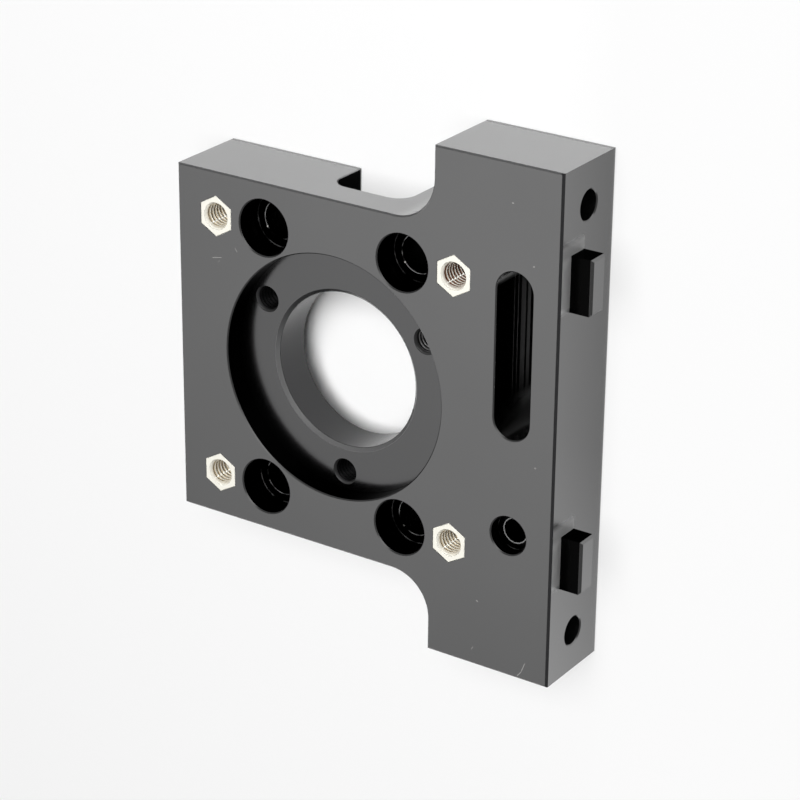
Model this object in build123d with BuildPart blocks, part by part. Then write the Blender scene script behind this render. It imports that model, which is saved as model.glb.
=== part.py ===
"""Bearing housing: a square plate with a bearing bore, in one piece with a taller mounting flange.

Millimetres. +X runs along the front towards the flange, +Y from front to back, +Z up.
The origin is on the bore's axis, halfway through the block's thickness.
"""

import os
from math import isclose

from build123d import *

os.makedirs("parts", exist_ok=True)

# Block outline
block_depth = 20.0
plate_height = 80.0
plate_left = 40.0  # from the bore's axis to the plate's left edge
flange_start = 25.0  # from the bore's axis to the flange's left side
flange_width = 30.0
flange_height = 113.5
inner_corner_radius = 9.5

# Broken edges
outline_break = 0.3
front_right_break = 0.5
mouth_break = 0.25

# Bearing bore between two equal recesses
bore_radius = 17.5
bore_break = 0.75
recess_radius = 27.5
recess_depth = 5.0

# Cover screws: tapped holes in the floor of the front recess
cover_pitch_radius = 23.5
cover_screw_count = 3
cover_first_angle = 30.0
cover_thread_radius = 3.0  # the thread's outside

# Counterbored holes for the cap screws
screw_pitch_x = 35.0
screw_pitch_z = 60.0
screw_hole_radius = 4.25
counterbore_radius = 6.25
counterbore_depth = 6.5

# Hexagonal threaded inserts and their pockets
insert_pitch = 60.0
insert_across_flats = 8.0
insert_length = 12.0
insert_fit = 0.03  # gap on each flat, taken up by the press-in knurl
insert_tap_radius = 2.5
insert_mouth_radius = 3.1
insert_passage_radius = 3.3  # clearance hole behind each insert

# Upright slot and stepped hole in the flange
slot_x = 44.5
slot_width = 8.5
slot_top = 34.0
slot_bottom = -2.5
stepped_hole_z = -24.2
stepped_hole_radius = 2.7
stepped_mouth_radius = 4.25
stepped_mouth_depth = 3.0

# Holes along X through the flange's two ears
ear_hole_pitch = 95.0
ear_hole_radius = 3.2

# Locating keys standing out of the flange's right side
key_width = 5.0
key_height = 12.0
key_reach = 5.0
key_break = 0.5
key_y = -3.75
key_heights = (32.75, -29.0)

# Notch in the top of the plate, open to the back
notch_left = -6.35
notch_width = 19.0
notch_depth = 6.5
notch_corner_radius = 4.25
front_strip = 8.0  # what the notch leaves standing at the front

# Worked out from the values above
flange_right = flange_start + flange_width
front = Plane.XZ.offset(block_depth / 2)
back = Plane.XZ.offset(-block_depth / 2)
recess_floor = front.offset(-recess_depth)
back_recess_floor = back.offset(recess_depth)
right_side = Plane.YZ.offset(flange_right)
plate_top = Plane.XY.offset(plate_height / 2)
insert_places = {
    "hex_insert_upper_left": (-insert_pitch / 2, insert_pitch / 2),
    "hex_insert_upper_right": (insert_pitch / 2, insert_pitch / 2),
    "hex_insert_lower_left": (-insert_pitch / 2, -insert_pitch / 2),
    "hex_insert_lower_right": (insert_pitch / 2, -insert_pitch / 2),
}


def round_rims(part, radius, plane):
    """The circular edges of one radius that lie in one plane."""
    circles = part.edges().filter_by(GeomType.CIRCLE)
    return circles.filter_by(
        lambda edge: isclose(edge.radius, radius, abs_tol=1e-4)
        and plane.contains(edge.arc_center, tolerance=1e-4)
    )


# The block: plate and flange from one bar, with rounded inner corners and broken outer edges
with BuildPart() as housing:
    with BuildSketch(front) as outline:
        plate_width = plate_left + flange_start
        with Locations(((flange_start - plate_left) / 2, 0)):
            Rectangle(plate_width, plate_height)
        with Locations((flange_start + flange_width / 2, 0)):
            Rectangle(flange_width, flange_height)
        inner_corners = outline.vertices().filter_by(
            lambda corner: isclose(corner.X, flange_start, abs_tol=1e-4)
            and isclose(abs(corner.Y), plate_height / 2, abs_tol=1e-4)
        )
        fillet(inner_corners, inner_corner_radius)
    extrude(amount=-block_depth)

    front_edges = housing.faces().sort_by(Axis.Y)[0].edges()
    front_right_edge = front_edges.sort_by(Axis.X)[-1]
    chamfer(front_right_edge, front_right_break)
    chamfer(housing.faces().sort_by(Axis.Y)[0].edges().sort_by(Axis.X)[:-1], outline_break)
    chamfer(housing.faces().sort_by(Axis.Y)[-1].edges(), outline_break)

    # Bearing bore, with a recess for the cover at the front and the same one at the back
    with BuildSketch(front):
        Circle(bore_radius)
    extrude(amount=-block_depth, mode=Mode.SUBTRACT)
    with BuildSketch(front):
        Circle(recess_radius)
    extrude(amount=-recess_depth, mode=Mode.SUBTRACT)
    with BuildSketch(back):
        Circle(recess_radius)
    extrude(amount=recess_depth, mode=Mode.SUBTRACT)
    for floor in (recess_floor, back_recess_floor):
        chamfer(round_rims(housing, bore_radius, floor), bore_break)
    for face in (front, back):
        chamfer(round_rims(housing, recess_radius, face), mouth_break)

    # Tapped holes for the cover screws, as wide as the thread's outside
    with Locations(recess_floor):
        with PolarLocations(cover_pitch_radius, cover_screw_count, cover_first_angle):
            Hole(cover_thread_radius)

    # Counterbored holes for the cap screws
    with Locations(front):
        with GridLocations(screw_pitch_x, screw_pitch_z, 2, 2):
            CounterBoreHole(screw_hole_radius, counterbore_radius, counterbore_depth)
    chamfer(round_rims(housing, counterbore_radius, front), mouth_break)

    # Hexagonal pockets for the inserts, each with a clearance hole behind it
    with BuildSketch(front):
        with GridLocations(insert_pitch, insert_pitch, 2, 2):
            RegularPolygon(insert_across_flats / 2, 6, major_radius=False, rotation=30)
    extrude(amount=-insert_length, mode=Mode.SUBTRACT)
    with BuildSketch(front):
        with GridLocations(insert_pitch, insert_pitch, 2, 2):
            Circle(insert_passage_radius)
    extrude(amount=-block_depth, mode=Mode.SUBTRACT)

    # Upright slot with a countersunk mouth, and stepped hole in the flange
    slot_length = slot_top - slot_bottom
    slot_centre = (slot_x, (slot_top + slot_bottom) / 2)
    with BuildSketch(front):
        with Locations(slot_centre):
            SlotOverall(slot_length, slot_width, rotation=90)
    extrude(amount=-block_depth, mode=Mode.SUBTRACT)
    with BuildSketch(front):
        with Locations(slot_centre):
            SlotOverall(slot_length + 2 * mouth_break, slot_width + 2 * mouth_break, rotation=90)
    extrude(amount=-mouth_break, taper=45, mode=Mode.SUBTRACT)
    with Locations(front):
        with Locations((slot_x, stepped_hole_z)):
            CounterBoreHole(stepped_hole_radius, stepped_mouth_radius, stepped_mouth_depth)
    chamfer(round_rims(housing, stepped_mouth_radius, front), mouth_break)

    # Holes through the ears, from the right side inwards
    with Locations(right_side):
        with Locations((0, ear_hole_pitch / 2), (0, -ear_hole_pitch / 2)):
            Hole(ear_hole_radius)
    chamfer(round_rims(housing, ear_hole_radius, right_side), mouth_break)

    # Locating keys, left standing when the right side was milled
    with BuildSketch(right_side):
        with Locations(*[(key_y, key_z) for key_z in key_heights]):
            Rectangle(key_width, key_height)
    extrude(amount=key_reach)
    key_faces = housing.faces().filter_by(Axis.X).group_by(Axis.X)[-1]
    chamfer(key_faces.edges(), key_break)

    # Notch in the top, milled downwards with a round cutter and open to the back
    notch_front = front_strip - block_depth / 2
    notch_length = block_depth / 2 - notch_front + notch_corner_radius
    with BuildSketch(plate_top) as notch:
        with Locations((notch_left, notch_front)):
            Rectangle(notch_width, notch_length, align=(Align.MIN, Align.MIN))
        fillet(notch.vertices().group_by(Axis.Y)[0], notch_corner_radius)
    extrude(amount=-notch_depth, mode=Mode.SUBTRACT)

housing.part.label = "housing"
export_step(housing.part, "parts/housing.step")

# Threaded inserts: hexagonal bar, drilled, countersunk at both ends and pressed in to the pocket's floor
for insert_name, insert_place in insert_places.items():
    with BuildPart() as insert:
        with BuildSketch(front):
            with Locations(insert_place):
                hex_apothem = insert_across_flats / 2 - insert_fit
                RegularPolygon(hex_apothem, 6, major_radius=False, rotation=30)
                Circle(insert_tap_radius, mode=Mode.SUBTRACT)
        extrude(amount=-insert_length)
        tap_rims = insert.edges().filter_by(GeomType.CIRCLE)
        chamfer(tap_rims, insert_mouth_radius - insert_tap_radius)
    insert.part.label = insert_name
    export_step(insert.part, f"parts/{insert_name}.step")
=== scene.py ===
"""A bearing housing as it lies on its back on a pale table: black anodised block, pale brass inserts.

Metres. The frame is the block's own: +X towards the flange, +Y from front to back along the bore,
+Z up the flange. The table is the plane just behind the block's back face.
"""

import bpy
import numpy as np
from mathutils import Matrix


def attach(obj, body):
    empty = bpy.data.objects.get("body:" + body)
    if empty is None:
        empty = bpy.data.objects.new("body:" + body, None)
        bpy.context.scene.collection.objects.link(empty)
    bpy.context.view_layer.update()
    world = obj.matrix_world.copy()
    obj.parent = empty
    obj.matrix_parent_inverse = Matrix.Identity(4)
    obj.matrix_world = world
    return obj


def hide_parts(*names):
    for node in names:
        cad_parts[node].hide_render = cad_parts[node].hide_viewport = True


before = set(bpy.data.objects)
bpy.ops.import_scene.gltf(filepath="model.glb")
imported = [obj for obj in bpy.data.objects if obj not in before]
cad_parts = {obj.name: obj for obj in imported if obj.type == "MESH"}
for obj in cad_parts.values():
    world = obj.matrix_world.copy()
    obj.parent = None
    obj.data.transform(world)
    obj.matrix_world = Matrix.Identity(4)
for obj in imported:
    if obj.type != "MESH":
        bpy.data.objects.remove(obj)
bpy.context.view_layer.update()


# The block: aluminium bar milled on all sides and black anodised to an even satin.
# It is the solid itself. Only its finish is added: fine grain, bands inside the slot, painted shade in the
# hollows and along the edges, painted highlights and glints on the screw holes' rims, painted light by the
# keys, and the small scratches and dust specks of a block that has been handled.

FRONT_Y = -0.010
INSIDE_Y = (FRONT_Y + 0.0003, 0.0097)
HARD = 0.00001
BLOCK_COLOUR = (0.31, 0.31, 0.311, 1.0)
BLOCK_CLOUD = (0.28, 0.28, 0.281, 1.0)
BLOCK_ROUGHNESS = 0.23
CLOUD_SCALE = 38.0
CLOUD_SHARE = 0.25
CLOUD_ROUGHNESS = 0.05
GRAIN_SCALE = 5200.0
GRAIN_STRENGTH = 0.05
GRAIN_HEIGHT = 0.0001
# Painted shade for the hollows: a near black colour and a dulled glancing shine
HOLLOW_SHADE_COLOUR = (0.006, 0.006, 0.006, 1.0)
HOLLOW_SHADE_SHEEN = (0.45, 0.45, 0.45, 1.0)
FULL_SHEEN = (1.0, 1.0, 1.0, 1.0)

# Bore and recess: each surface lies between two distances from the axis, and two depths
BORE_AXIS = (0.0, 0.0)
BORE_WALL = (0.0170, 0.01755)
LEAD_IN = (0.01756, 0.01835)
LEAD_IN_Y = (-0.0052, -0.0042)
LEAD_IN_SHADE_Z = (0.000, 0.012)
RECESS_WALL = (0.02744, 0.0278)
RECESS_WALL_Y = (FRONT_Y + 0.0003, FRONT_Y + 0.0051)
RECESS_FLOOR_Y = (-0.0052, -0.0048)
RECESS_MOUTH = 0.0283
# Painted shade: the bore's wall is painted darker than the faces
BORE_WALL_SHADE = (0.060, 0.060, 0.061, 1.0)
# A painted sheen on the lead-in, with painted shade towards its top
LEAD_IN_PAINTED_SHEEN = (0.115, 0.115, 0.116, 1.0)
LEAD_IN_PAINTED_SHADE = (0.030, 0.030, 0.031, 1.0)
# Painted shade: the recess floor is painted darker than the faces
RECESS_FLOOR_SHADE = (0.22, 0.22, 0.222, 1.0)
RECESS_SMOOTHER = -0.07

# Screw holes and stepped hole: axis in x and z, reach, mouth, floor, and the two rims on the floor, where
# highlights are painted
SCREW_AXIS = (0.0175, 0.030)
SCREW_REACH = 0.0063
SCREW_MOUTH = 0.0068
SCREW_FLOOR_Y = (-0.00362, -0.00338)
SCREW_FLOOR_EDGE = (0.00608, 0.0063)
SCREW_RIM = (0.00422, 0.00440)
SCREW_EDGE_LEVEL = 0.5
STEP_AXIS = (0.0445, -0.0242)
STEP_REACH = 0.00435
STEP_MOUTH = 0.0047
STEP_FLOOR_Y = (-0.00712, -0.00688)
STEP_FLOOR_EDGE = (0.00408, 0.0043)
STEP_RIM = (0.00266, 0.00292)
STEP_EDGE_LEVEL = 0.4
# Painted highlights on the holes' rims: noise that breaks them up, and their colour
RIM_BREAK_SCALE = 420.0
RIM_BREAKS = (0.62, 0.42)
RIM_HIGHLIGHT_COLOUR = (0.20, 0.20, 0.20, 1.0)
# Each painted glint on a screw hole's rim: x, z and strength
RIM_GLINTS = (
    (-0.02120, 0.02771, 0.9),
    (0.01400, 0.02742, 0.9),
    (-0.02130, -0.03212, 0.3),
    (0.01441, -0.03299, 0.4),
)
GLINT_FADE = (0.0001, 0.0003)

# Slot and notch
SLOT_X = (0.0400, 0.0490)
SLOT_Z = (-0.0028, 0.0343)
SLOT_MOUTH_X = (0.0397, 0.0493)
SLOT_MOUTH_Z = (-0.0031, 0.0346)
SLOT_TOP_Z = (0.0300, 0.0312)
SLOT_FOOT_Z = (0.0010, 0.0040)
# Each band in the slot: depth, half width and strength
SLOT_BANDS = (
    (0.0071, 0.00012, 0.50),
    (0.0086, 0.00012, 0.50),
    (0.0107, 0.00090, 0.26),
    (0.0129, 0.00060, 0.30),
)
BANDS_RISE_Z = (0.0020, 0.0120)
BAND_COLOUR = (0.13, 0.13, 0.131, 1.0)
NOTCH_WALL_X = (-0.0066, -0.0062)
NOTCH_WALL_Y = (-0.0017, 0.0097)
NOTCH_WALL_Z = (0.0336, 0.0397)

# The keys' sides, which take painted shade, and the patches of painted light on the right side in front of
# the keys and above them
KEY_SIDES_X = (0.05502, 0.05948)
PATCH_X = (0.0545, 0.05502)
PATCH_Y = (-0.00955, -0.00110)
PATCHES_Z = ((0.0271, 0.0416), (-0.0346, -0.0201))
PATCH_EDGE_Y = 0.0001
PATCH_EDGE_Z = 0.0008
ABOVE_KEYS_Z = ((0.0385, 0.0430), (-0.0233, -0.0188))
ABOVE_EDGE = 0.0006
KEY_PATCH_LIGHT = (0.37, 0.37, 0.37, 1.0)
ABOVE_KEY_PATCH_LIGHT = (0.26, 0.26, 0.26, 1.0)

# The broken edges round the outline, a satin line of painted shade, darker down the flange's front right
EDGE_STRIP_Y = (FRONT_Y + 0.00003, FRONT_Y + 0.00052)
FRONT_RIGHT_X = (0.0542, 0.0544)
EDGE_SHADE = (0.075, 0.075, 0.076, 1.0)
FRONT_RIGHT_EDGE_SHADE = (0.020, 0.020, 0.021, 1.0)

# Each mark: centre x and z on the front face, angle from the x axis, length, width, strength
SCRATCHES = (
    (-0.02989, 0.02068, 12.6, 0.00290, 0.00012, 0.45),
    (-0.02940, 0.01990, 35.0, 0.00100, 0.00010, 0.25),
    (-0.02477, 0.02352, -56.0, 0.00120, 0.00012, 0.35),
    (0.04912, -0.05367, 69.6, 0.00270, 0.00014, 0.45),
    (0.04819, -0.05553, 53.2, 0.00190, 0.00014, 0.45),
    (0.03640, -0.05305, 62.0, 0.00110, 0.00012, 0.30),
    (0.03738, -0.04151, -32.3, 0.00060, 0.00018, 0.50),
    (0.04358, 0.04847, 11.9, 0.00050, 0.00020, 0.50),
    (0.04881, 0.03621, 12.7, 0.00050, 0.00020, 0.50),
    (0.05056, -0.00716, -19.3, 0.00040, 0.00018, 0.50),
)
# Colour of the scratches and specks, and of the painted glints on the screw holes' rims
SCRATCH_AND_GLINT_COLOUR = (0.62, 0.61, 0.58, 1.0)


class Wires:
    """Short ways to add and join nodes in one tree, a material's or the world's."""

    def __init__(self, owner):
        self.tree = owner.node_tree

    def add(self, kind, **values):
        """A node of one kind, with its own values set."""
        node = self.tree.nodes.new(kind)
        for name, value in values.items():
            setattr(node, name, value)
        return node

    def join(self, source, target):
        """Joins an output to an input."""
        self.tree.links.new(source, target)

    def coordinates(self):
        """The place on the object's own axes: whole, and as x, y and z."""
        place = self.add("ShaderNodeTexCoord").outputs["Object"]
        parts = self.add("ShaderNodeSeparateXYZ")
        self.join(place, parts.inputs[0])
        return place, *parts.outputs[:3]

    def maths(self, operation, first, second=None, third=None):
        """The output of one sum; numbers are set and outputs are joined."""
        node = self.add("ShaderNodeMath", operation=operation)
        for socket, value in zip(node.inputs, (first, second, third)):
            if value is None:
                continue
            if isinstance(value, (int, float)):
                socket.default_value = value
            else:
                self.join(value, socket)
        return node.outputs[0]

    def fade(self, value, near, far):
        """One below the near value, zero above the far value, and a straight fall between."""
        node = self.add("ShaderNodeMapRange")
        self.join(value, node.inputs[0])
        for socket, number in zip(node.inputs[1:5], (near, far, 1.0, 0.0)):
            socket.default_value = number
        return node.outputs[0]

    def rest_of(self, mask):
        """One minus a mask."""
        return self.maths("SUBTRACT", 1.0, mask)

    def beyond(self, value, near, far):
        """Zero below the near value, one above the far value, and a straight rise between."""
        return self.rest_of(self.fade(value, near, far))

    def within(self, value, low, high, edge=0.00004):
        """One between two values, zero outside them, with narrow straight edges."""
        middle, half = (low + high) / 2, (high - low) / 2
        away = self.maths("ABSOLUTE", self.maths("SUBTRACT", value, middle))
        return self.fade(away, half - edge, half + edge)

    def distance(self, across, up, place):
        """Distance from a point in a plane: the root of the summed squares."""
        sides = [self.maths("SUBTRACT", value, number) for value, number in zip((across, up), place)]
        squares = [self.maths("MULTIPLY", side, side) for side in sides]
        return self.maths("SQRT", self.maths("ADD", *squares))

    def all_of(self, *masks):
        """Masks multiplied together."""
        whole = masks[0]
        for mask in masks[1:]:
            whole = self.maths("MULTIPLY", whole, mask)
        return whole

    def any_of(self, *masks):
        """The greatest of several masks."""
        whole = masks[0]
        for mask in masks[1:]:
            whole = self.maths("MAXIMUM", whole, mask)
        return whole

    def noise(self, vector, scale, detail):
        """Plain three-dimensional noise between zero and one."""
        node = self.add("ShaderNodeTexNoise")
        self.join(vector, node.inputs["Vector"])
        node.inputs["Scale"].default_value = scale
        node.inputs["Detail"].default_value = detail
        return node.outputs[0]

    def mix_colour(self, factor, first, second):
        """A blend of two colours by a factor; each may be a colour or an output."""
        node = self.add("ShaderNodeMix", data_type="RGBA")
        self.join(factor, node.inputs[0])
        for socket, value in ((node.inputs[6], first), (node.inputs[7], second)):
            if isinstance(value, tuple):
                socket.default_value = value
            else:
                self.join(value, socket)
        return node.outputs[2]


def blank_material(name):
    """A material with one shader, and its wires and shader."""
    material = bpy.data.materials.new(name)
    material.use_nodes = True
    return material, Wires(material), material.node_tree.nodes["Principled BSDF"]


def line_mark(wires, x, z, mark):
    """One on a short straight line on the front face, zero off it: it fades with the distance
    along the line and with the distance across it."""
    centre_x, centre_z, angle, length, width, strength = mark
    turn = np.radians(angle)
    across_x = wires.maths("SUBTRACT", x, centre_x)
    across_z = wires.maths("SUBTRACT", z, centre_z)
    along = wires.maths(
        "ADD",
        wires.maths("MULTIPLY", across_x, float(np.cos(turn))),
        wires.maths("MULTIPLY", across_z, float(np.sin(turn))),
    )
    across = wires.maths(
        "SUBTRACT",
        wires.maths("MULTIPLY", across_z, float(np.cos(turn))),
        wires.maths("MULTIPLY", across_x, float(np.sin(turn))),
    )
    ends = wires.fade(wires.maths("ABSOLUTE", along), 0.35 * length, 0.5 * length)
    sides = wires.fade(wires.maths("ABSOLUTE", across), 0.3 * width, width)
    return wires.maths("MULTIPLY", wires.all_of(ends, sides), strength)


def front_marks(wires, x, y, z):
    """The scratches and specks, on the front face alone."""
    on_front = wires.fade(y, FRONT_Y + 0.00005, FRONT_Y + 0.00015)
    lines = [line_mark(wires, x, z, mark) for mark in SCRATCHES]
    return wires.all_of(wires.any_of(*lines), on_front)


def slot_bands(wires, y, z, in_slot):
    """Bands round the slot's wall, each at one depth. They fade towards the slot's foot."""
    bands = [
        wires.maths("MULTIPLY", wires.within(y, FRONT_Y + depth - half, FRONT_Y + depth + half), strength)
        for depth, half, strength in SLOT_BANDS
    ]
    return wires.all_of(wires.any_of(*bands), in_slot, wires.beyond(z, *BANDS_RISE_Z))


def painted_rim_highlights(wires, place, y, from_screw, from_step):
    """Painted highlights: thin bright rims on the floors of the screw holes and of the stepped hole, one at
    the wall, one at the hole below. Noise breaks them up in places, but for the stepped hole's inner rim."""
    screw_floor = wires.within(y, *SCREW_FLOOR_Y)
    screw_edge = wires.all_of(wires.within(from_screw, *SCREW_FLOOR_EDGE), screw_floor)
    screw_rim = wires.all_of(wires.within(from_screw, *SCREW_RIM), screw_floor)
    step_floor = wires.within(y, *STEP_FLOOR_Y)
    step_edge = wires.all_of(wires.within(from_step, *STEP_FLOOR_EDGE), step_floor)
    step_rim = wires.all_of(wires.within(from_step, *STEP_RIM), step_floor)
    rim_highlights = wires.any_of(
        wires.maths("MULTIPLY", screw_edge, SCREW_EDGE_LEVEL),
        screw_rim,
        wires.maths("MULTIPLY", step_edge, STEP_EDGE_LEVEL),
    )
    broken_up = wires.fade(wires.noise(place, RIM_BREAK_SCALE, 2.0), *RIM_BREAKS)
    return wires.any_of(wires.all_of(rim_highlights, broken_up), step_rim)


def painted_rim_glints(wires, x, y, z):
    """A painted glint on the rim of each screw hole."""
    rim_glints = [
        wires.maths("MULTIPLY", wires.fade(wires.distance(x, z, spot), *GLINT_FADE), strength)
        for *spot, strength in RIM_GLINTS
    ]
    return wires.all_of(wires.any_of(*rim_glints), wires.within(y, *SCREW_FLOOR_Y))


def broken_edges(wires, x, y, z, from_bore, from_screw, from_step):
    """The front outline's chamfer: a strip just behind the front face, less the holes' mouths."""
    strip = wires.within(y, *EDGE_STRIP_Y, HARD)
    by_holes = wires.any_of(
        wires.within(from_screw, -SCREW_MOUTH, SCREW_MOUTH),
        wires.within(from_bore, -RECESS_MOUTH, RECESS_MOUTH),
        wires.within(from_step, -STEP_MOUTH, STEP_MOUTH),
        wires.all_of(wires.within(x, *SLOT_MOUTH_X), wires.within(z, *SLOT_MOUTH_Z)),
    )
    return wires.all_of(strip, wires.rest_of(by_holes))


def key_patches(wires, x, y, z):
    """Two masks: patches of painted light that keep the right side from mirroring the keys,
    and what lies above the keys, where the painted light is darker."""
    by_keys = wires.any_of(*[wires.within(z, *reach, PATCH_EDGE_Z) for reach in PATCHES_Z])
    above_keys = wires.any_of(*[wires.within(z, *reach, ABOVE_EDGE) for reach in ABOVE_KEYS_Z])
    on_side = wires.all_of(wires.within(x, *PATCH_X, HARD), wires.within(y, *PATCH_Y, PATCH_EDGE_Y))
    return wires.all_of(on_side, by_keys), above_keys


def black_anodised(name):
    """Black anodising with fine grain, scratches and specks, painted shade in the hollows and along the
    edges, painted highlights and glints on the rims, and painted light on the patches by the keys. Rims,
    edges,
    marks and patches are satin: their share of the metal's shine is taken away."""
    material, wires, shader = blank_material(name)
    place, x, y, z = wires.coordinates()
    from_bore = wires.distance(x, z, BORE_AXIS)
    folded = [wires.maths("ABSOLUTE", value) for value in (x, z)]
    from_screw = wires.distance(*folded, SCREW_AXIS)
    from_step = wires.distance(x, z, STEP_AXIS)

    # Painted shade: the walls of the recess, slot, notch and holes and the keys' sides are painted darker
    # than the faces
    below_front = wires.within(y, *INSIDE_Y)
    recess_wall = wires.all_of(wires.within(from_bore, *RECESS_WALL), wires.within(y, *RECESS_WALL_Y))
    screw_holes = wires.all_of(wires.within(from_screw, -SCREW_REACH, SCREW_REACH), below_front)
    stepped_hole = wires.all_of(wires.within(from_step, -STEP_REACH, STEP_REACH), below_front)
    in_slot = wires.all_of(wires.within(x, *SLOT_X), wires.within(z, *SLOT_Z), below_front)
    key_sides = wires.within(x, *KEY_SIDES_X, HARD)
    notch_wall = wires.all_of(
        wires.within(x, *NOTCH_WALL_X), wires.within(y, *NOTCH_WALL_Y), wires.within(z, *NOTCH_WALL_Z)
    )
    hollow_shade = wires.any_of(recess_wall, screw_holes, key_sides, in_slot, notch_wall, stepped_hole)

    marks = front_marks(wires, x, y, z)
    bands = slot_bands(wires, y, z, in_slot)
    rim_highlights = painted_rim_highlights(wires, place, y, from_screw, from_step)
    rim_glints = painted_rim_glints(wires, x, y, z)
    edges = broken_edges(wires, x, y, z, from_bore, from_screw, from_step)
    lead_in = wires.all_of(wires.within(from_bore, *LEAD_IN), wires.within(y, *LEAD_IN_Y))
    patches, above_keys = key_patches(wires, x, y, z)
    satin = wires.any_of(rim_highlights, lead_in, marks, edges, rim_glints, patches)

    cloud = wires.noise(place, CLOUD_SCALE, 3.0)
    in_recess = wires.within(from_bore, -RECESS_WALL[0], RECESS_WALL[0])
    recess_floor = wires.all_of(in_recess, wires.within(y, *RECESS_FLOOR_Y))
    tint = wires.mix_colour(wires.maths("MULTIPLY", cloud, CLOUD_SHARE), BLOCK_COLOUR, BLOCK_CLOUD)
    # Colours laid over the tint, painted shade, highlights, sheen, glints and light among them
    finishes = (
        (recess_floor, RECESS_FLOOR_SHADE),
        (wires.within(from_bore, *BORE_WALL), BORE_WALL_SHADE),
        (hollow_shade, HOLLOW_SHADE_COLOUR),
        (bands, BAND_COLOUR),
        (rim_highlights, RIM_HIGHLIGHT_COLOUR),
        (lead_in, wires.mix_colour(wires.fade(z, *LEAD_IN_SHADE_Z), LEAD_IN_PAINTED_SHADE, LEAD_IN_PAINTED_SHEEN)),
        (patches, wires.mix_colour(above_keys, KEY_PATCH_LIGHT, ABOVE_KEY_PATCH_LIGHT)),
        (edges, wires.mix_colour(wires.fade(x, *FRONT_RIGHT_X), FRONT_RIGHT_EDGE_SHADE, EDGE_SHADE)),
        (wires.any_of(marks, rim_glints), SCRATCH_AND_GLINT_COLOUR),
    )
    for mask, colour in finishes:
        tint = wires.mix_colour(mask, tint, colour)
    wires.join(tint, shader.inputs["Base Color"])
    rough = wires.maths("MULTIPLY_ADD", cloud, CLOUD_ROUGHNESS, BLOCK_ROUGHNESS)
    rough = wires.maths("MULTIPLY_ADD", recess_floor, RECESS_SMOOTHER, rough)
    wires.join(rough, shader.inputs["Roughness"])
    wires.join(wires.rest_of(satin), shader.inputs["Metallic"])

    # Painted shade also takes the glancing shine out of these places, but for the slot's ends
    slot_ends = wires.any_of(wires.beyond(z, *SLOT_TOP_Z), wires.fade(z, *SLOT_FOOT_Z))
    shiny = wires.any_of(bands, satin, wires.all_of(in_slot, slot_ends))
    dull = wires.all_of(hollow_shade, wires.rest_of(shiny))
    wires.join(wires.mix_colour(dull, FULL_SHEEN, HOLLOW_SHADE_SHEEN), shader.inputs["Specular Tint"])

    bump = wires.add("ShaderNodeBump")
    bump.inputs["Strength"].default_value = GRAIN_STRENGTH
    bump.inputs["Distance"].default_value = GRAIN_HEIGHT
    wires.join(wires.noise(place, GRAIN_SCALE, 1.0), bump.inputs["Height"])
    wires.join(bump.outputs[0], shader.inputs["Normal"])
    return material


block_finish = black_anodised("black_anodised")


def dress(piece, material):
    """Gives a piece one material all over."""
    piece.data.materials.clear()
    piece.data.materials.append(material)


dress(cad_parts["housing"], block_finish)


# Four threaded inserts: pale brass hexagons, drilled, countersunk and tapped, then pressed into
# hexagonal pockets until they are flush with the front. The thread runs right through.

INSERT_PITCH = 0.060
INSERT_APOTHEM = 0.00397
INSERT_LENGTH = 0.012
INSERT_EDGE = 0.00012
INSERT_MOUTH = 0.0031
SINK_SLOPE = 0.7
THREAD_PITCH = 0.001
THREAD_CREST = 0.0025
THREAD_ROOT = 0.0030
TURN_STEPS = 96
PITCH_STEPS = 18
CREASE_ANGLE = 28
BRASS_COLOUR = (1.0, 0.985, 0.90, 1.0)
BRASS_CLOUD = (0.90, 0.85, 0.72, 1.0)
BRASS_CLOUD_SCALE = 900.0
BRASS_CLOUD_SHARE = 0.4
BRASS_METAL = 0.2
BRASS_ROUGHNESS = 0.24
THREAD_BROWN = (0.13, 0.042, 0.010, 1.0)
THREAD_BROWN_PALE = (0.40, 0.30, 0.16, 1.0)
# How thick the brown lies, how much less of it on the pale side, and how much painted shade on deep crests
BROWN_AMOUNT = 0.97
PALE_LESS = 0.17
DEEP_CREST_SHADE = 0.7
# Where the brown lies: distances from the insert's axis, depths, and the side where it is pale
BROWN_RADII = (0.002505, 0.00262)
HOLE_RADII = (0.00301, 0.00306)
BROWN_Y = (FRONT_Y + 0.0003, FRONT_Y + 0.0009)
DEEP_DOWN_Y = (FRONT_Y + 0.004, FRONT_Y + 0.010)
PALE_SIDE = (-0.01, 0.01)
# The painted highlight line in it: angle from the x axis, half width, and reach from the insert's axis
GLINT_LINE_ANGLE = -131.0
GLINT_LINE_HALF = 0.00013
GLINT_LINE_REACH = (0.001, 0.004)


def thread_radius(depth, turn, crest, root, pitch):
    """Radius of a thread's surface: it climbs one pitch a turn, and in each pitch the crest is flat
    over a quarter, the root over an eighth, and two straight flanks join them."""
    phase = np.mod(depth / pitch - turn / (2 * np.pi), 1.0)
    swing = np.abs(2 * phase - 1)
    share = np.clip((0.75 - swing) / 0.625, 0, 1)
    return crest + (root - crest) * share


def hexagon_radius(turn, apothem):
    """Distance from the middle to a hexagon's side: the apothem over the cosine of the angle
    from the nearest flat."""
    from_flat = np.mod(turn + np.pi / 6, np.pi / 3) - np.pi / 6
    return apothem / np.cos(from_flat)


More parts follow.
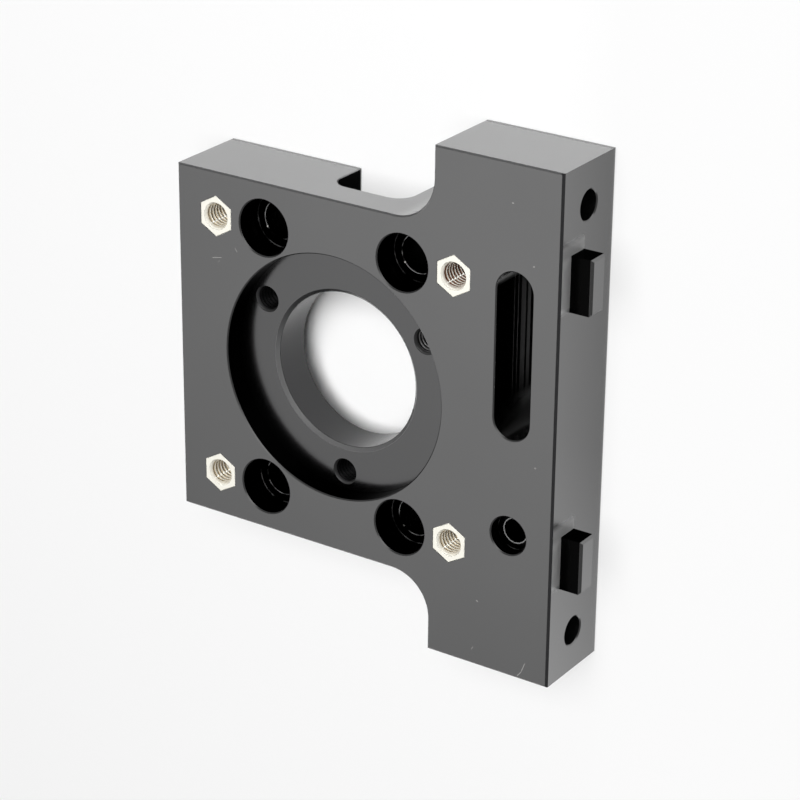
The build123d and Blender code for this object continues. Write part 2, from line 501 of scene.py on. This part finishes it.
def ring_mesh(name, radii, depths, centre):
    """A closed ring about the bore's direction: row i of the grid runs round at radii[i], depths[i],
    and the last row joins the first."""
    rows, columns = radii.shape
    turn = np.linspace(0, 2 * np.pi, columns, endpoint=False)[None, :]
    grid = np.empty((rows, columns, 3))
    grid[..., 0] = centre[0] + radii * np.cos(turn)
    grid[..., 1] = centre[1] + depths
    grid[..., 2] = centre[2] + radii * np.sin(turn)
    row, column = np.meshgrid(np.arange(rows), np.arange(columns), indexing="ij")
    row_on, column_on = (row + 1) % rows, (column + 1) % columns
    corners = (
        row * columns + column,
        row_on * columns + column,
        row_on * columns + column_on,
        row * columns + column_on,
    )
    faces = np.stack(corners, axis=-1).reshape(-1, 4)
    mesh = bpy.data.meshes.new(name)
    mesh.from_pydata(grid.reshape(-1, 3).tolist(), [], faces.tolist())
    mesh.validate()
    piece = bpy.data.objects.new(name, mesh)
    bpy.context.scene.collection.objects.link(piece)
    return piece


def smooth_by_angle(piece, degrees):
    """Smooth shading, with a crease where two faces meet more sharply than the angle."""
    mesh = piece.data
    mesh.polygons.foreach_set("use_smooth", np.ones(len(mesh.polygons), dtype=bool))
    mesh.set_sharp_from_angle(angle=np.radians(degrees))


def threaded_insert(name, x, z):
    """Hexagonal outside, flat ends, countersunk mouths, and the thread between them.
    The thread's radius gives way to the countersink's wherever that is wider."""
    turn = np.linspace(0, 2 * np.pi, TURN_STEPS, endpoint=False)[None, :]
    hexagon = hexagon_radius(turn, INSERT_APOTHEM)
    pitches = round(INSERT_LENGTH / THREAD_PITCH)
    inside = np.linspace(0, INSERT_LENGTH, pitches * PITCH_STEPS + 1)[:, None]
    thread = thread_radius(inside, turn, THREAD_CREST, THREAD_ROOT, THREAD_PITCH)
    front_sink = INSERT_MOUTH - SINK_SLOPE * inside
    back_sink = INSERT_MOUTH - SINK_SLOPE * (INSERT_LENGTH - inside)
    bored = np.maximum(thread, np.maximum(front_sink, back_sink))
    outer_radii = np.concatenate((hexagon - INSERT_EDGE, hexagon, hexagon, hexagon - INSERT_EDGE))
    outer_depths = np.array((INSERT_LENGTH, INSERT_LENGTH - INSERT_EDGE, INSERT_EDGE, 0.0))
    radii = np.concatenate((outer_radii, bored))
    depths = np.concatenate((outer_depths[:, None] + 0 * turn, inside + 0 * turn))
    piece = ring_mesh(name, radii, depths, (x, FRONT_Y, z))
    smooth_by_angle(piece, CREASE_ANGLE)
    return piece


def pale_brass(name):
    """Bright brass, faintly clouded, with darker brown in the roots of the thread and painted shade on its
    crests deep down.
    """
    material, wires, shader = blank_material(name)
    place, x, y, z = wires.coordinates()
    cloud = wires.maths("MULTIPLY", wires.noise(place, BRASS_CLOUD_SCALE, 2.0), BRASS_CLOUD_SHARE)
    pale = wires.mix_colour(cloud, BRASS_COLOUR, BRASS_CLOUD)
    across, up = [
        wires.maths("SUBTRACT", value, wires.maths("MULTIPLY", wires.maths("SIGN", value), INSERT_PITCH / 2))
        for value in (x, z)
    ]
    from_axis = wires.distance(across, up, (0.0, 0.0))
    in_root = wires.beyond(from_axis, *BROWN_RADII)
    in_hole = wires.fade(from_axis, *HOLE_RADII)
    below = wires.beyond(y, *BROWN_Y)

    # A painted highlight line runs down each thread, low on the left
    turn = np.radians(GLINT_LINE_ANGLE)
    along = wires.maths(
        "MULTIPLY_ADD", across, float(np.cos(turn)), wires.maths("MULTIPLY", up, float(np.sin(turn)))
    )
    beside = wires.maths(
        "MULTIPLY_ADD", across, float(np.sin(turn)), wires.maths("MULTIPLY", up, -float(np.cos(turn)))
    )
    in_line = wires.all_of(wires.within(beside, -GLINT_LINE_HALF, GLINT_LINE_HALF), wires.within(along, *GLINT_LINE_REACH))
    glint_line = wires.all_of(in_line, below)

    # The brown is strongest in the upper right thread, and deep down painted shade covers the crests too
    left_or_low = wires.any_of(wires.fade(x, *PALE_SIDE), wires.fade(z, *PALE_SIDE))
    amount = wires.maths("SUBTRACT", BROWN_AMOUNT, wires.maths("MULTIPLY", left_or_low, PALE_LESS))
    brown_tint = wires.mix_colour(left_or_low, THREAD_BROWN, THREAD_BROWN_PALE)
    deep_down_shade = wires.beyond(y, *DEEP_DOWN_Y)
    brown_or_shade = wires.any_of(in_root, wires.maths("MULTIPLY", deep_down_shade, DEEP_CREST_SHADE))
    brown = wires.all_of(brown_or_shade, in_hole, below, amount, wires.rest_of(glint_line))
    tint = wires.mix_colour(brown, pale, brown_tint)
    tint = wires.mix_colour(wires.all_of(glint_line, in_hole), tint, BRASS_COLOUR)
    wires.join(tint, shader.inputs["Base Color"])
    shader.inputs["Metallic"].default_value = BRASS_METAL
    shader.inputs["Roughness"].default_value = BRASS_ROUGHNESS
    return material


brass_finish = pale_brass("pale_brass")
for level, z in (("upper", INSERT_PITCH / 2), ("lower", -INSERT_PITCH / 2)):
    for side, x in (("left", -INSERT_PITCH / 2), ("right", INSERT_PITCH / 2)):
        insert = threaded_insert(f"threaded_insert_{level}_{side}", x, z)
        dress(insert, brass_finish)
        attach(insert, "root")
        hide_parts(f"hex_insert_{level}_{side}")


# The threads of the three cover screw holes: cut straight into the block's recess floor with a
# countersunk start, and anodised with it. Each is a ring that fills the hole out to the thread's outside.

COVER_PITCH_RADIUS = 0.0235
COVER_ANGLES = (30.0, 150.0, 270.0)
COVER_FLOOR_Y = -0.005
COVER_LENGTH = 0.010
COVER_OUTSIDE = 0.00299
COVER_ROOT = 0.00297
COVER_SLOPE = 0.55
COVER_RIM = 0.0001
COVER_START = 0.00012
COVER_MOUTH_Y = (COVER_FLOOR_Y + 0.0004, COVER_FLOOR_Y + 0.0012)
COVER_METAL = 0.85
COVER_ROUGHNESS = 0.30
# Painted shade deep in the holes, and painted light at their mouths
COVER_CLOUD_SCALE = 700.0
COVER_SHADE_CLOUD = (0.022, 0.022, 0.023, 1.0)
COVER_MOUTH_LIGHT = (0.17, 0.17, 0.172, 1.0)
# The axis of the hole whose crests carry a painted highlight, and how far from it the highlight reaches
CREST_HIGHLIGHT_AXIS = (0.020352, 0.011750)
CREST_HIGHLIGHT_RADII = (0.00253, 0.00262)
CREST_HIGHLIGHT_COLOUR = (0.6, 0.6, 0.6, 1.0)


def cover_thread(name, x, z):
    """A ring with a straight outside; inside, the thread gives way to a steep countersink at both ends."""
    turn = np.linspace(0, 2 * np.pi, TURN_STEPS, endpoint=False)[None, :]
    pitches = round(COVER_LENGTH / THREAD_PITCH)
    inside = np.linspace(COVER_START, COVER_LENGTH - COVER_START, pitches * PITCH_STEPS + 1)[:, None]
    thread = thread_radius(inside, turn, THREAD_CREST, COVER_ROOT, THREAD_PITCH)
    front_sink = THREAD_ROOT - COVER_SLOPE * inside
    back_sink = THREAD_ROOT - COVER_SLOPE * (COVER_LENGTH - inside)
    bored = np.minimum(np.maximum(thread, np.maximum(front_sink, back_sink)), COVER_ROOT)
    outside = np.full((2, TURN_STEPS), COVER_OUTSIDE)
    outside_depths = np.array((COVER_LENGTH - COVER_RIM, COVER_RIM))[:, None] + 0 * turn
    radii = np.concatenate((outside, bored))
    depths = np.concatenate((outside_depths, inside + 0 * turn))
    piece = ring_mesh(name, radii, depths, (x, COVER_FLOOR_Y, z))
    smooth_by_angle(piece, CREASE_ANGLE)
    return piece


def thread_black(name):
    """The same anodising on cut threads, in painted shade: near black and less of a mirror deep in, painted
    lighter at the mouth, and with a painted highlight on the crests of the thread at the right."""
    material, wires, shader = blank_material(name)
    place, x, y, z = wires.coordinates()
    cloud = wires.noise(place, COVER_CLOUD_SCALE, 2.0)
    shade_tint = wires.mix_colour(cloud, HOLLOW_SHADE_COLOUR, COVER_SHADE_CLOUD)
    tint = wires.mix_colour(wires.fade(y, *COVER_MOUTH_Y), shade_tint, COVER_MOUTH_LIGHT)
    crests = wires.fade(wires.distance(x, z, CREST_HIGHLIGHT_AXIS), *CREST_HIGHLIGHT_RADII)
    wires.join(wires.mix_colour(crests, tint, CREST_HIGHLIGHT_COLOUR), shader.inputs["Base Color"])
    shader.inputs["Metallic"].default_value = COVER_METAL
    shader.inputs["Specular Tint"].default_value = HOLLOW_SHADE_SHEEN
    shader.inputs["Roughness"].default_value = COVER_ROUGHNESS
    return material


thread_finish = thread_black("thread_black")
for number, angle in enumerate(COVER_ANGLES, start=1):
    x = COVER_PITCH_RADIUS * np.cos(np.radians(angle))
    z = COVER_PITCH_RADIUS * np.sin(np.radians(angle))
    thread = cover_thread(f"cover_thread_{number}", x, z)
    dress(thread, thread_finish)
    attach(thread, "root")


# The table: a plain pale sheet behind the block, which lies on it. Seen from behind it is clear,
# and so it is to what leaves the block's own back face, so the back can be looked at and lit.

TABLE_Y = 0.0103
TABLE_HALF = 1.5
TABLE_COLOUR = (0.895, 0.895, 0.895, 1.0)
TABLE_ROUGHNESS = 0.9
GROUND_WHITE = (0.956, 0.956, 0.956, 1.0)
# How much of the white ground the camera sees, and how much more of it right of the block
GROUND_SHARE = 0.6
RIGHT_SHARE = 0.22
RIGHT_X = (0.040, 0.056)
BORE_EDGE = (0.028, 0.032)
CLEAR_REACH = 0.002


def pale_table(name):
    """White sheet, clear from behind and within two millimetres of a bounce. Outside the bore the
    camera sees it partly as a plain white ground, so the block's shadow on it is light, and
    lightest at the block's right."""
    material, wires, shader = blank_material(name)
    shader.inputs["Base Color"].default_value = TABLE_COLOUR
    shader.inputs["Roughness"].default_value = TABLE_ROUGHNESS
    path = wires.add("ShaderNodeLightPath")
    _, x, _, z = wires.coordinates()
    outside = wires.beyond(wires.distance(x, z, BORE_AXIS), *BORE_EDGE)
    ground = wires.add("ShaderNodeEmission")
    ground.inputs["Color"].default_value = GROUND_WHITE
    whiten = wires.add("ShaderNodeMixShader")
    at_right = wires.beyond(x, *RIGHT_X)
    share = wires.maths("MULTIPLY_ADD", at_right, RIGHT_SHARE, GROUND_SHARE)
    share = wires.all_of(outside, share)
    wires.join(wires.maths("MULTIPLY", share, path.outputs["Is Camera Ray"]), whiten.inputs[0])
    wires.join(shader.outputs[0], whiten.inputs[1])
    wires.join(ground.outputs[0], whiten.inputs[2])
    behind = wires.add("ShaderNodeNewGeometry").outputs["Backfacing"]
    close = wires.maths("LESS_THAN", path.outputs["Ray Length"], CLEAR_REACH)
    clear = wires.maths("MAXIMUM", behind, close)
    gap = wires.add("ShaderNodeBsdfTransparent")
    blend = wires.add("ShaderNodeMixShader")
    wires.join(clear, blend.inputs[0])
    wires.join(whiten.outputs[0], blend.inputs[1])
    wires.join(gap.outputs[0], blend.inputs[2])
    wires.join(blend.outputs[0], wires.tree.nodes["Material Output"].inputs["Surface"])
    return material


def flat_sheet(name, reach_x, reach_z, y):
    """A rectangle that faces the front, between two values of x and two of z."""
    corners = [(reach_x[a], y, reach_z[b]) for a, b in ((0, 0), (1, 0), (1, 1), (0, 1))]
    mesh = bpy.data.meshes.new(name)
    mesh.from_pydata(corners, [], [(0, 1, 2, 3)])
    piece = bpy.data.objects.new(name, mesh)
    bpy.context.scene.collection.objects.link(piece)
    return piece


table = flat_sheet("table", (-TABLE_HALF, TABLE_HALF), (-TABLE_HALF, TABLE_HALF), TABLE_Y)
dress(table, pale_table("table_white"))


# The room in front of the table: dim, with a wide window low on the left and a small one high on
# the right. It shows in the block's satin faces, and the camera looks through it.

ROOM_RADIUS = 1.4
ROOM_DIM = 0.13
DOME_STEPS = 24
DOME_POLE = 0.02
# Each window: the way to it, its level, and the cosines where its glow begins and is full
WINDOWS = (
    ((-0.38, -0.90, -0.20), 0.655, 0.80, 1.03),
    ((0.30, -0.83, 0.47), 0.6, 0.86, 0.97),
)


def half_dome(name, radius, steps):
    """Half a ball in front of the table: x, y and z are the radius times sines and cosines of a
    turn about the bore's direction and a tilt from it."""
    turn = np.linspace(0, 2 * np.pi, 4 * steps, endpoint=False)[None, :]
    tilt = np.linspace(DOME_POLE, np.pi / 2, steps)[:, None]
    grid = np.empty((steps, 4 * steps, 3))
    grid[..., 0] = radius * np.sin(tilt) * np.cos(turn)
    grid[..., 1] = -radius * np.cos(tilt) + 0 * turn
    grid[..., 2] = radius * np.sin(tilt) * np.sin(turn)
    row, column = np.meshgrid(np.arange(steps - 1), np.arange(4 * steps), indexing="ij")
    on = (column + 1) % (4 * steps)
    corners = (
        row * 4 * steps + column,
        row * 4 * steps + on,
        (row + 1) * 4 * steps + on,
        (row + 1) * 4 * steps + column,
    )
    faces = np.stack(corners, axis=-1).reshape(-1, 4).tolist()
    faces.append(list(range(4 * steps)))
    mesh = bpy.data.meshes.new(name)
    mesh.from_pydata(grid.reshape(-1, 3).tolist(), [], faces)
    mesh.validate()
    dome = bpy.data.objects.new(name, mesh)
    bpy.context.scene.collection.objects.link(dome)
    return dome


def room_light(name):
    """Glow that grows with the cosine of the angle from each window."""
    material, wires, _ = blank_material(name)
    place = wires.add("ShaderNodeTexCoord").outputs["Object"]
    way = wires.add("ShaderNodeVectorMath", operation="NORMALIZE")
    wires.join(place, way.inputs[0])
    glows = []
    for side, level, begins, full in WINDOWS:
        toward = wires.add("ShaderNodeVectorMath", operation="DOT_PRODUCT")
        wires.join(way.outputs[0], toward.inputs[0])
        toward.inputs[1].default_value = tuple(np.array(side) / np.linalg.norm(side))
        rise = wires.add("ShaderNodeMapRange", interpolation_type="SMOOTHSTEP")
        wires.join(toward.outputs["Value"], rise.inputs[0])
        for socket, number in zip(rise.inputs[1:5], (begins, full, ROOM_DIM, level)):
            socket.default_value = number
        glows.append(rise.outputs[0])
    glow = wires.add("ShaderNodeEmission")
    wires.join(wires.any_of(*glows), glow.inputs["Strength"])
    wires.join(glow.outputs[0], wires.tree.nodes["Material Output"].inputs["Surface"])
    return material


room = half_dome("room", ROOM_RADIUS, DOME_STEPS)
dress(room, room_light("room_light"))
room.visible_camera = False
room.visible_diffuse = False


# A grey card on the table, right of the block: it shades what the right side mirrors.
# Only gloss sees it, and it is darker beside the block and lighter low down.

CARD_Y = 0.0100
CARD_LEFT = 0.0553
CARD_SIZE = 0.45
CARD_LEVEL = 0.42
# What is added away from the block and low down, and where each rises
OUTER_LEVEL = 0.19
OUTER_X = (CARD_LEFT, CARD_LEFT + 0.016)
LOW_LEVEL = 0.27
LOW_Z = (-0.080, -0.010)


def card_light(name):
    """Glow that rises with the distance from the block and again below the flange's middle."""
    material, wires, _ = blank_material(name)
    _, x, _, z = wires.coordinates()
    level = wires.maths("ADD", CARD_LEVEL, wires.maths("MULTIPLY", wires.beyond(x, *OUTER_X), OUTER_LEVEL))
    level = wires.maths("ADD", level, wires.maths("MULTIPLY", wires.fade(z, *LOW_Z), LOW_LEVEL))
    glow = wires.add("ShaderNodeEmission")
    wires.join(level, glow.inputs["Strength"])
    wires.join(glow.outputs[0], wires.tree.nodes["Material Output"].inputs["Surface"])
    return material


card = flat_sheet("grey_card", (CARD_LEFT, CARD_LEFT + CARD_SIZE), (-CARD_SIZE, CARD_SIZE), CARD_Y)
dress(card, card_light("card_light"))
card.visible_camera = False
card.visible_diffuse = False
card.visible_shadow = False


# The surround: white where the camera looks past the table. It adds only a little light in front,
# and lights the block's back, which the table hides from the lamp.

FRONT_FILL = 0.08
BACK_FILL = 0.85
GLOSS_LEVEL = 0.42
LAMP_PLACE = (0.20, -0.90, 0.34)
LAMP_SIZE = 0.66
LAMP_POWER = 12.8

world = bpy.data.worlds.new("white_surround")
bpy.context.scene.world = world
world.use_nodes = True
surround = Wires(world)
sky_way = surround.add("ShaderNodeSeparateXYZ")
surround.join(surround.add("ShaderNodeTexCoord").outputs["Generated"], sky_way.inputs[0])
ray = surround.add("ShaderNodeLightPath").outputs
behind = surround.maths("GREATER_THAN", sky_way.outputs[1], 0.0)
fill = surround.maths("MULTIPLY_ADD", behind, BACK_FILL - FRONT_FILL, FRONT_FILL)
seen_in_gloss = surround.maths("MULTIPLY", ray["Is Glossy Ray"], GLOSS_LEVEL)
level = surround.any_of(fill, seen_in_gloss, ray["Is Camera Ray"])
surround.join(level, world.node_tree.nodes["Background"].inputs["Strength"])
world.node_tree.nodes["Background"].inputs["Color"].default_value = (1.0, 1.0, 1.0, 1.0)


def soft_lamp(name, place, size, power):
    """A square lamp that faces the bore."""
    data = bpy.data.lights.new(name, "AREA")
    data.size = size
    data.energy = power
    lamp = bpy.data.objects.new(name, data)
    lamp.location = place
    bpy.context.scene.collection.objects.link(lamp)
    back = np.array(place) / np.linalg.norm(place)
    side = np.cross((0, 0, 1), back)
    side = side / np.linalg.norm(side)
    up = np.cross(back, side)
    turn = Matrix(np.column_stack((side, up, back)).tolist())
    lamp.rotation_euler = turn.to_euler()
    return lamp


lamp = soft_lamp("soft_lamp", LAMP_PLACE, LAMP_SIZE, LAMP_POWER)
lamp.visible_glossy = False


# The camera: a long lens, right of the bore's axis and above it, fitted to the photograph's outlines.

CAMERA_PLACE = (0.315924, -0.456212, 0.237530)
CAMERA_RIGHT = (0.8288151, 0.5594448, 0.0093352)
CAMERA_DOWN = (0.2338094, -0.3311335, -0.9141574)
CAMERA_AHEAD = (-0.5083294, 0.7598501, -0.4052519)
FOCAL_PIXELS = 2827.84
PICTURE_PIXELS = 800
SENSOR = 36.0

lens = bpy.data.cameras.new("camera")
lens.sensor_width = SENSOR
lens.lens = FOCAL_PIXELS / PICTURE_PIXELS * SENSOR
lens.clip_start = 0.01
lens.clip_end = 20.0
camera = bpy.data.objects.new("camera", lens)
axes = np.column_stack((CAMERA_RIGHT, -np.array(CAMERA_DOWN), -np.array(CAMERA_AHEAD)))
camera.matrix_world = Matrix.Translation(CAMERA_PLACE) @ Matrix(axes.tolist()).to_4x4()
bpy.context.scene.collection.objects.link(camera)
bpy.context.scene.camera = camera
bpy.context.scene.view_settings.view_transform = "Standard"
